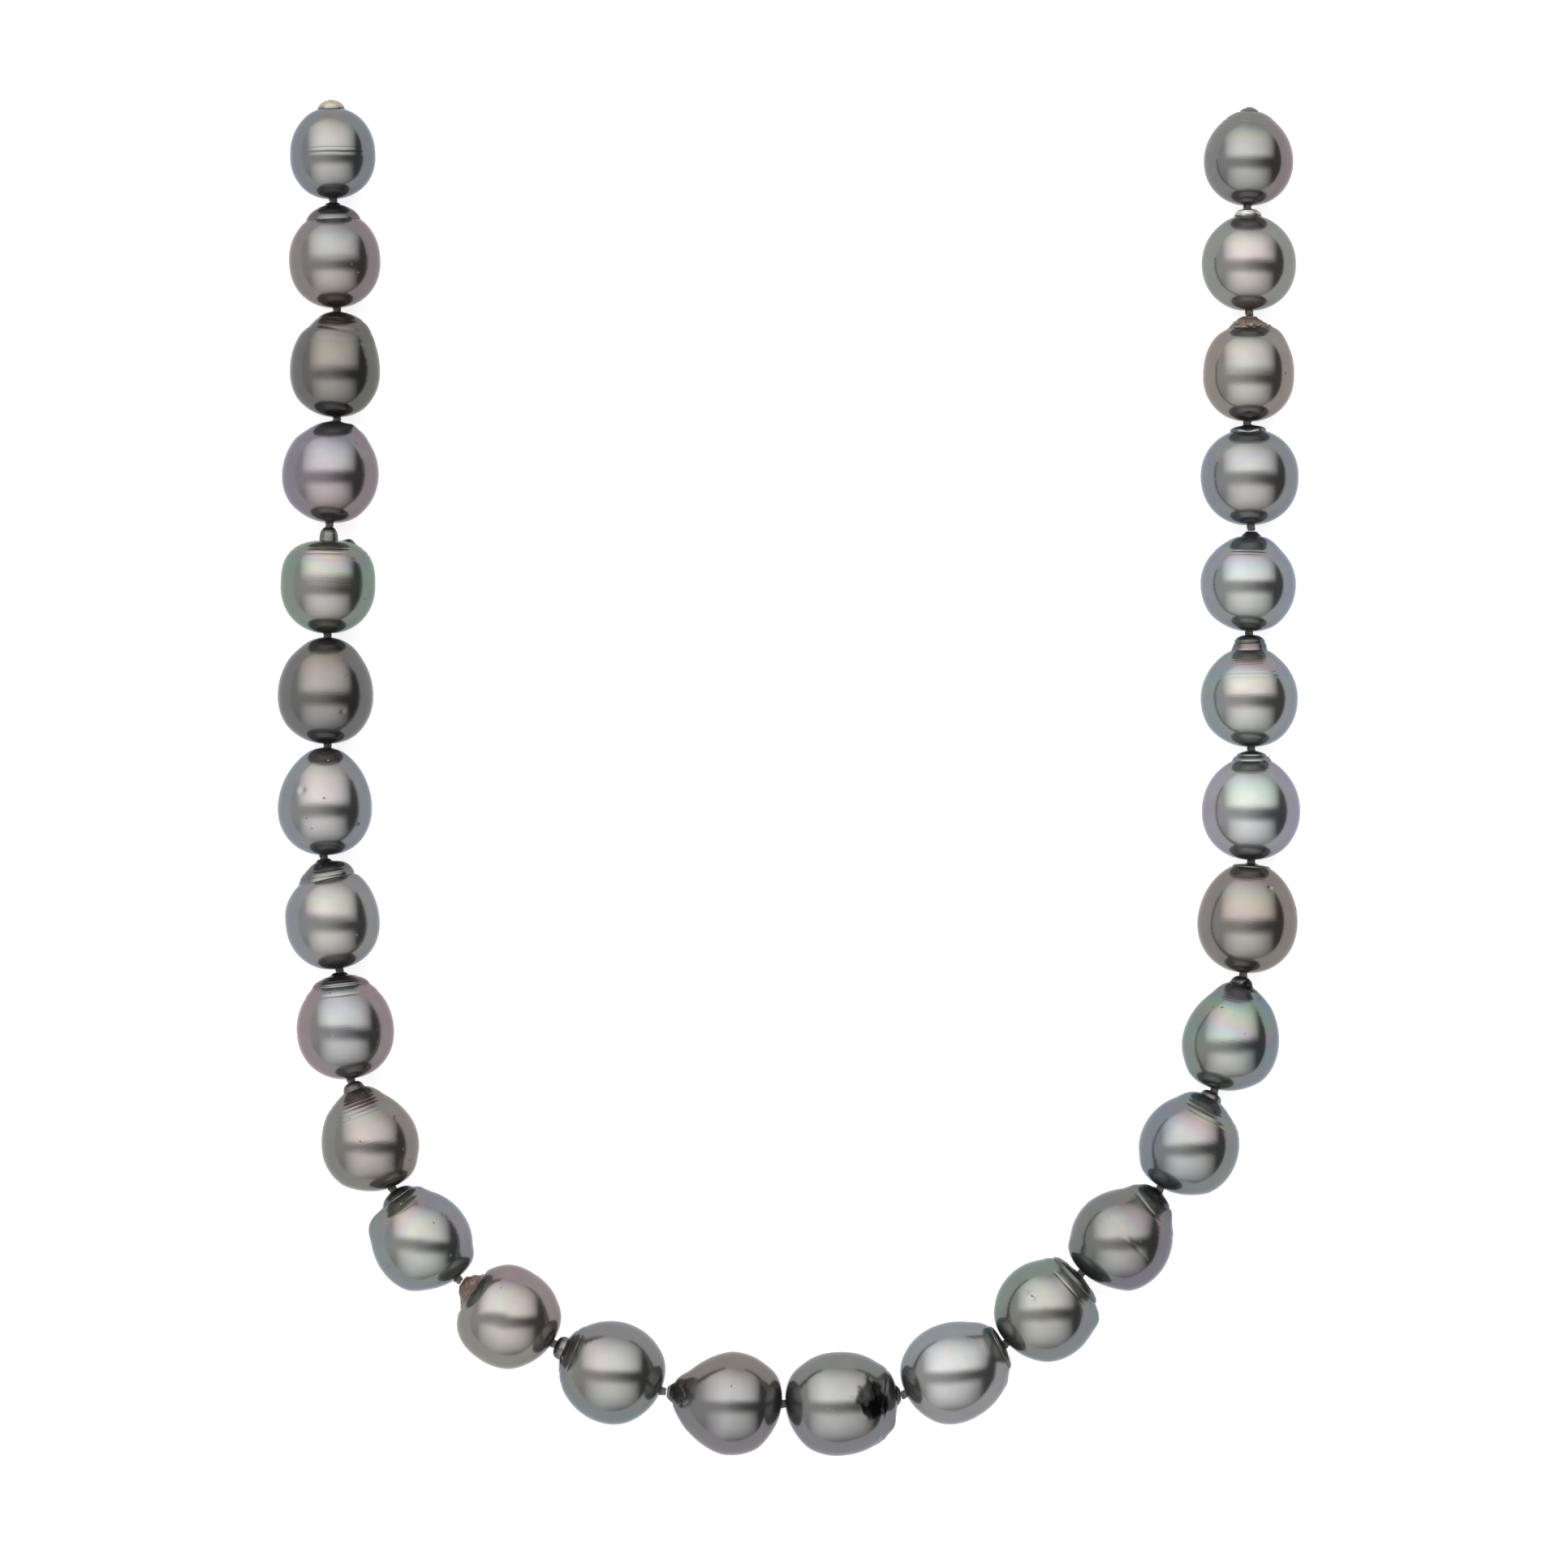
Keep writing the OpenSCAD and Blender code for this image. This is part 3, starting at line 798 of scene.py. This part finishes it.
def nacre(name, row, seed):
    """The skin of one pearl."""
    material = bpy.data.materials.new(name)
    material.use_nodes = True
    tree = material.node_tree
    shader = tree.nodes["Principled BSDF"]
    tip_half, round_half, left, right = row["tints"]
    set_sockets(shader, Specular_Tint=edge_tint(left, right), Coat_Roughness=0.05, Coat_IOR=1.5,
                Coat_Weight=0.2)
    tone = add(tree, "ShaderNodeGroup",
               {"Tip Half": tinted(tip_half), "Round Half": tinted(round_half), "Left Flank": tinted(left),
                "Right Flank": tinted(right), "Depth": row["depth"] * DEPTH_SCALE, "Banding": row["bands"],
                "Seed": seed}, node_tree=overtone)
    flaws, rings, horn = (add(tree, "ShaderNodeGroup", {"Amount": row[amount], "Seed": seed}, node_tree=group)
                          for amount, group in (("flaws", flaw_group), ("rings", ring_group),
                                                ("residue", residue_group)))
    pits = Field(tree, flaws.outputs["Pits"])
    crust = Field(tree, horn.outputs["Mask"])
    stain = painted(tree, "stain") * row["stain"][3]
    # painted shade: each pit's hollow is darkened in colour
    pit_shaded = blend_colour(tree, pits * 0.55, tone.outputs["Color"], PIT_SHADE_DARK)
    # painted shade on the tip: the tip's colour is darkened, partly for its own duller grey and partly to
    # stand in for the shade it sits in between its neighbours
    tip_grey_and_shade = painted(tree, "along").ramp(0.64, 0.78) * row["shade"]
    shaded = blend_colour(tree, tip_grey_and_shade, pit_shaded, TIP_GREY_AND_SHADE)
    darkened = blend_colour(tree, stain, shaded, STAIN_DARK)
    colour = blend_colour(tree, crust, darkened, row["horn"])
    feed(tree, colour, shader.inputs["Base Color"])
    where = add(tree, "ShaderNodeTexCoord").outputs["Object"]
    haze = noise(tree, where, 1.6 * MM, seed + 1) * 0.06
    feed(tree, haze + NACRE_ROUGH + crust * row["dull_horn"] + pits * 0.15, shader.inputs["Roughness"])
    feed(tree, (1 - crust * row["dull_horn"] * 2.2).clamp() * METAL, shader.inputs["Metallic"])
    grain = noise(tree, where, 0.35 * MM, seed + 9) * 0.0016
    dents = noise(tree, where, 2.4 * MM, seed + 11) * 0.010
    rough_tip = noise(tree, where, 0.5 * MM, seed + 13, 4.0) * crust * 0.16
    lines = Field(tree, rings.outputs["Height"]) * 0.03
    height = grain + dents + rough_tip + lines - pits * 0.06
    bump = add(tree, "ShaderNodeBump", {"Height": height, "Distance": MM})
    tree.links.new(bump.outputs["Normal"], shader.inputs["Normal"])
    return material


# %% Grow the pearls
NO_GROOVE = (0, 0, 0.02, 0)
NO_BUMP = (0.5, 0, 1, 0)


def radius_at(row, radius, length, height):
    """How far the skin is from the axis, at a height above the round end."""
    tip_width, tip_height, tip_form = row["tip"]
    base = length - tip_height
    if height < radius:
        return radius * (1 - (1 - height / radius) ** ROUND_FORM) ** (1 / ROUND_FORM)
    if height < base:
        form = row["shoulder"]
        rise = (base - radius) / (1 - (tip_width / 2 / radius) ** form) ** (1 / form)
        return radius * (1 - ((height - radius) / rise) ** form) ** (1 / form)
    return tip_width / 2 * max(0, 1 - ((height - base) / tip_height) ** tip_form) ** (1 / tip_form)


def pearl_values(row, width, length, seed):
    """What the pearl's tree is told, in metres."""
    values = {"Width": width * MM, "Length": length * MM, "Shoulder Form": row["shoulder"],
              "Tip Width": row["tip"][0] * MM, "Tip Height": row["tip"][1] * MM, "Tip Form": row["tip"][2],
              "Seat Depth": END_SEAT if row.get("end") else SEAT, "Cap Slant": row["slant"],
              "Off Centre": row["aside"] * MM, "Collar Flare": row["flare"] * MM,
              "Tip Lean": row["lean"] * MM, "Unevenness": row["uneven"] * MM,
              "Tip Crumple": row["crumple"] * MM, "Seed": float(seed)}
    for title, value, unit in zip(("Start", "End", "Count", "Depth"), row["ripple"], (1, 1, 1, MM)):
        values["Ripple " + title] = float(value * unit)
    for n in range(1, GROOVES + 1):
        place, depth, breadth, slant = (*row["grooves"], *[NO_GROOVE] * GROOVES)[n - 1]
        values[f"Groove {n} Place"] = float(place)
        values[f"Groove {n} Depth"] = depth * MM
        values[f"Groove {n} Breadth"] = float(breadth)
        values[f"Groove {n} Slant"] = float(slant)

    def spot(share, angle):
        """The point of the skin at a share of the pearl's height and an angle round it."""
        up = share * length
        out = radius_at(row, width / 2, length, up)
        aside = row["aside"] * (1 - max(0, min(1, (share - 0.80) / 0.14)))
        turned = math.radians(angle)
        return Vector((out * math.cos(turned), out * math.sin(turned) + aside, up + GAP / MM / 2)) * MM

    for n in range(1, BUMPS + 1):
        share, angle, breadth, height = (*row["bumps"], *[NO_BUMP] * BUMPS)[n - 1]
        values[f"Bump {n} Centre"] = spot(share, angle)
        values[f"Bump {n} Breadth"] = breadth * MM
        values[f"Bump {n} Height"] = height * MM
    share, angle, breadth, _ = row["stain"]
    values["Stain Centre"] = spot(share, angle)
    values["Stain Breadth"] = breadth * MM
    return values


PEARLS[0]["end"] = True
PEARLS[-1]["end"] = True
triangles = 0
for number, row in enumerate(PEARLS, start=1):
    body = f"pearl_{number:02d}"
    before, after = pivots[number - 1], pivots[number]
    foot, head = (after, before) if number <= COUNT // 2 else (before, after)
    low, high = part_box(body)
    width = (high.z - low.z) / MM
    length = (head - foot).length / MM - GAP / MM
    values = pearl_values(row, width, length, number)
    values["Skin"] = nacre(body + "_nacre", row, float(number))
    piece = grow(pearl_tree, body + "_skin", values, stand(foot, head))
    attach(piece, body)
    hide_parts(body)
    body + "_nacre"
    triangles += 2 * len(piece.data.polygons)
print("triangles in all the pearls:", triangles)

# %% [markdown]
# ## Silk
# Each knot is an overhand knot drawn tight, and each pearl holds a straight length of twisted thread. Both
# are the same twisted silk: a three-lobed section that turns as it goes, swept along a curve.

# %% Build the silk trees
THREAD_POINTS = 97


def silk_profile(tree, radius):
    """A three-lobed section."""
    circle = add(tree, "GeometryNodeCurvePrimitiveCircle", {"Resolution": 15, "Radius": 1.0})
    factor = Field(tree, add(tree, "GeometryNodeSplineParameter").outputs["Factor"]) * (2 * math.pi)
    out = ((factor * 3).math("COSINE") * 0.12 + 0.88) * radius
    spot = add(tree, "ShaderNodeCombineXYZ",
               {"X": factor.math("COSINE") * out, "Y": factor.math("SINE") * out})
    lobed = add(tree, "GeometryNodeSetPosition", {"Geometry": circle.outputs[0], "Position": spot.outputs[0]})
    return lobed.outputs[0]


def sweep(tree, curve, radius, twist, given, exit_node):
    """Sweeps the section along a curve, turning it twist times, and ends the tree."""
    factor = Field(tree, add(tree, "GeometryNodeSplineParameter").outputs["Factor"])
    turned = add(tree, "GeometryNodeSetCurveTilt", {"Curve": curve, "Tilt": factor * twist * (2 * math.pi)})
    solid = add(tree, "GeometryNodeCurveToMesh",
                {"Curve": turned.outputs[0], "Profile Curve": silk_profile(tree, radius), "Fill Caps": True})
    smooth = add(tree, "GeometryNodeSetShadeSmooth", {"Geometry": solid.outputs[0]})
    real = add(tree, "GeometryNodeRealizeInstances", {"Geometry": smooth.outputs[0]})
    done = add(tree, "GeometryNodeSetMaterial", {"Geometry": real.outputs[0], "Material": given["Silk"]})
    tree.links.new(done.outputs[0], exit_node.inputs[0])


knot_tree, given, exit_node = new_tree(
    "Overhand knot", "GeometryNodeTree",
    {"Diameter": "Float", "Silk Diameter": "Float", "Twist": "Float", "Silk": "Material"},
    {"Knot": "Geometry"})
loop = add(knot_tree, "GeometryNodeCurvePrimitiveCircle", {"Resolution": 84, "Radius": 1.0})
t = Field(knot_tree, add(knot_tree, "GeometryNodeSplineParameter").outputs["Factor"]) * (2 * math.pi)
reach_out = (given["Diameter"] - given["Silk Diameter"]) / 2
x = (t.math("SINE") + (t * 2).math("SINE") * 2) / 3 * reach_out
y = (t.math("COSINE") - (t * 2).math("COSINE") * 2) / 3 * reach_out
z = (t * 3).math("SINE") * reach_out * 0.75
spot = add(knot_tree, "ShaderNodeCombineXYZ", {"X": x, "Y": y, "Z": z})
tied = add(knot_tree, "GeometryNodeSetPosition", {"Geometry": loop.outputs[0], "Position": spot.outputs[0]})
sweep(knot_tree, tied.outputs[0], given["Silk Diameter"] / 2, given["Twist"], given, exit_node)

thread_tree, given, exit_node = new_tree(
    "Twisted thread", "GeometryNodeTree",
    {"Length": "Float", "Diameter": "Float", "Twist": "Float", "Silk": "Material"}, {"Thread": "Geometry"})
tall = add(thread_tree, "ShaderNodeCombineXYZ", {"Z": given["Length"]})
straight = add(thread_tree, "GeometryNodeCurvePrimitiveLine", {"End": tall.outputs[0]})
points = add(thread_tree, "GeometryNodeResampleCurve", {"Curve": straight.outputs[0], "Count": THREAD_POINTS})
sweep(thread_tree, points.outputs[0], given["Diameter"] / 2, given["Twist"], given, exit_node)

# %% Dye the silk
silk = bpy.data.materials.new("grey_silk")
silk.use_nodes = True
tree = silk.node_tree
shader = tree.nodes["Principled BSDF"]
set_sockets(shader, Sheen_Weight=0.4, Sheen_Roughness=0.4)
where = add(tree, "ShaderNodeTexCoord").outputs["Object"]
fibre = noise(tree, where, 0.08 * MM, 1.0, 3.0)
feed(tree, blend_colour(tree, fibre + 0.5, (0.03, 0.029, 0.028, 1), (0.11, 0.105, 0.10, 1)),
     shader.inputs["Base Color"])
feed(tree, fibre * 0.3 + 0.5, shader.inputs["Roughness"])
bump = add(tree, "ShaderNodeBump", {"Height": fibre * 0.03, "Distance": MM})
tree.links.new(bump.outputs["Normal"], shader.inputs["Normal"])

# %% Tie the knots and thread the pearls
KNOT = 1.3 * MM
END_KNOT = 1.1 * MM         # drawn tighter, and mostly down in the hole's mouth
KNOT_SILK = 0.46 * MM
THREAD = 0.6 * MM
THREAD_INSET = 0.68 * MM    # from a knot's middle to the end of the thread beside it
KNOT_TWIST = 9.0            # turns of the silk's lobes along its length
THREAD_TWIST = 6.0

for number in range(1, COUNT):
    node = f"knot_{number:02d}"
    at = pivots[number]
    piece = grow(knot_tree, node + "_silk",
                 {"Diameter": KNOT, "Silk Diameter": KNOT_SILK, "Twist": KNOT_TWIST, "Silk": silk},
                 stand(at, pivots[number + 1]))
    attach(piece, node)
    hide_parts(node)
for node, at, inner, body in (("end_knot_left", left_end, pivots[1], "pearl_01"),
                              ("end_knot_right", right_end, pivots[-2], f"pearl_{COUNT:02d}")):
    piece = grow(knot_tree, node + "_silk",
                 {"Diameter": END_KNOT, "Silk Diameter": KNOT_SILK, "Twist": KNOT_TWIST, "Silk": silk},
                 stand(at, inner))
    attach(piece, body)
    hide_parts(node)


def thread_node(number):
    """The CAD node that holds the thread through a pearl."""
    return "thread_left" if number < 10 else "thread_middle" if number < 20 else "thread_right"


stops = [left_end, *pivots[1:-1], right_end]
for number in range(1, COUNT + 1):
    start, end = stops[number - 1], stops[number]
    start, end = start.lerp(end, THREAD_INSET / (end - start).length), end.lerp(
        start, THREAD_INSET / (end - start).length)
    piece = grow(thread_tree, f"thread_{number:02d}",
                 {"Length": (end - start).length, "Diameter": THREAD, "Twist": THREAD_TWIST, "Silk": silk},
                 stand(start, end))
    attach(piece, f"pearl_{number:02d}")
    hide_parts(thread_node(number))
